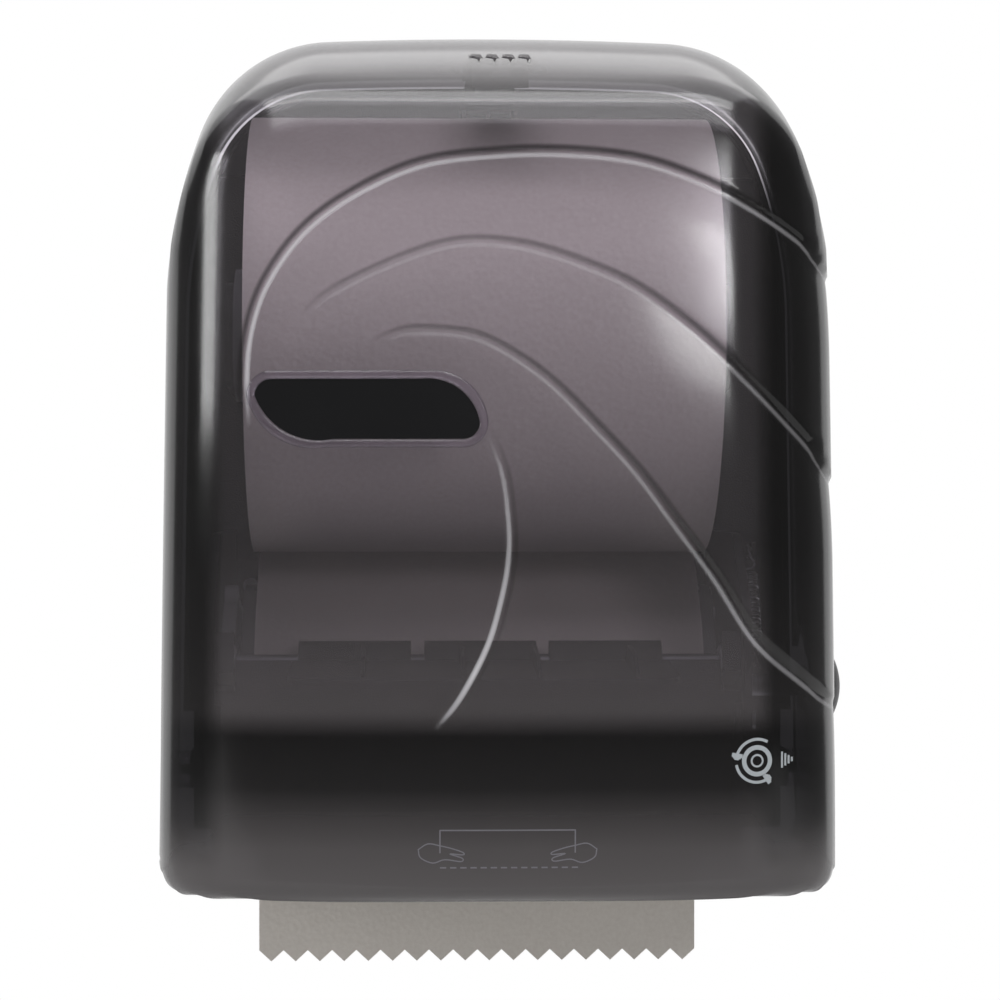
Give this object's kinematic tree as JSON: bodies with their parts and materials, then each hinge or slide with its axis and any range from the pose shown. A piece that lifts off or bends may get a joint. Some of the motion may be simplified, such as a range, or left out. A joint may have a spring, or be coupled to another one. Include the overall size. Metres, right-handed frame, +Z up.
{
  "type": "touchless towel dispenser",
  "caption": "Wall towel dispenser with a smoke translucent swing-down cover, roll on arms, pull-driven drum with a knife inside, side knob and a toothed towel end hanging below.",
  "frame": {"origin": "centre of the four wall holes on the back face of the back plate", "axes": "+X to the right as seen by the user, +Y into the wall, +Z up"},
  "size_m": [0.3188, 0.2394, 0.4232],
  "materials": {
    "smoke_cover": "glossy translucent smoke grey",
    "black_plastic": "satin black",
    "badge_black": "gloss black",
    "grey_acetal": "natural grey acetal",
    "drum_plastic": "satin grey",
    "steel": "bright turned steel",
    "blade_steel": "ground stainless strip",
    "spring_steel": "drawn wire",
    "band_rubber": "matt black rubber",
    "towel_paper": "soft creped paper",
    "core_board": "wound board"
  },
  "bodies": {
    "frame": {"back_plate": "black_plastic", "side_frame_left": "black_plastic", "side_frame_right": "black_plastic", "drum_bearing_left": "grey_acetal", "drum_bearing_right": "grey_acetal", "cam_plate": "grey_acetal", "front_guide": "black_plastic", "exit_guide": "black_plastic", "roll_arm_left": "black_plastic", "roll_hub_left": "grey_acetal", "arm_pivot_pin": "steel", "cover_hinge_pins": "steel", "pinch_bearings": "grey_acetal", "pinch_springs": "spring_steel", "return_spring": "spring_steel", "frame_screws": "steel", "guide_screws": "steel", "paper_web": "towel_paper"},
    "cover": {"front_cover": "smoke_cover", "badge_plate": "badge_black", "latch_bracket": "steel", "latch_pin": "steel", "latch_spring": "spring_steel", "latch_screws": "steel"},
    "latch": {"latch_lever": "black_plastic"},
    "drum": {"drum_shell_front": "drum_plastic", "drum_shell_rear": "drum_plastic", "drum_cap_left": "drum_plastic", "drum_cap_right": "drum_plastic", "drum_shaft": "steel", "friction_bands": "band_rubber", "drum_screws": "steel", "return_crank": "grey_acetal", "feed_knob": "black_plastic", "knob_screw": "steel"},
    "knife": {"knife_carrier": "drum_plastic", "knife_blade": "blade_steel", "blade_screws": "steel", "cam_roller": "grey_acetal", "knife_spring": "spring_steel"},
    "pinch_roller": {"pinch_shaft": "steel", "pinch_sleeves": "band_rubber"},
    "roll": {"paper_roll": "towel_paper", "roll_core": "core_board"},
    "right_arm": {"roll_arm_right": "black_plastic", "roll_hub_right": "grey_acetal", "arm_spring": "spring_steel"}
  },
  "joints": [
    {"name": "cover_hinge", "type": "hinge", "parent": "frame", "child": "cover", "pos_m": [0, -0.04, -0.15], "axis": [1, 0, 0], "range_deg": [0, 90]},
    {"name": "latch_press", "type": "hinge", "parent": "cover", "child": "latch", "pos_m": [0, -0.1, 0.1775], "axis": [1, 0, 0], "range_deg": [0, 2.5], "stiffness_Nm_per_rad": 0.4},
    {"name": "drum_spin", "type": "hinge", "parent": "frame", "child": "drum", "pos_m": [0, -0.08, -0.1075], "axis": [1, 0, 0], "continuous": true, "deforming": ["return_spring"]},
    {"name": "knife_swing", "type": "hinge", "parent": "drum", "child": "knife", "pos_m": [0, -0.063, -0.0745], "axis": [-1, 0, 0], "range_deg": [0, 60], "stiffness_Nm_per_rad": 0.03},
    {"name": "pinch_roller_spin", "type": "hinge", "parent": "frame", "child": "pinch_roller", "pos_m": [0, -0.13583, -0.09254], "axis": [1, 0, 0], "continuous": true},
    {"name": "paper_roll_spin", "type": "hinge", "parent": "frame", "child": "roll", "pos_m": [0, -0.118, 0.054], "axis": [1, 0, 0], "continuous": true},
    {"name": "roll_arm_spread", "type": "hinge", "parent": "frame", "child": "right_arm", "pos_m": [0.1049, -0.014, 0.054], "axis": [0, 0, 1], "range_deg": [0, 8], "stiffness_Nm_per_rad": 4}
  ],
  "couplings": [
    {"joint": "pinch_roller_spin", "follows": "drum_spin", "ratio": -5.3667},
    {"joint": "paper_roll_spin", "follows": "drum_spin", "ratio": -0.4919}
  ]
}
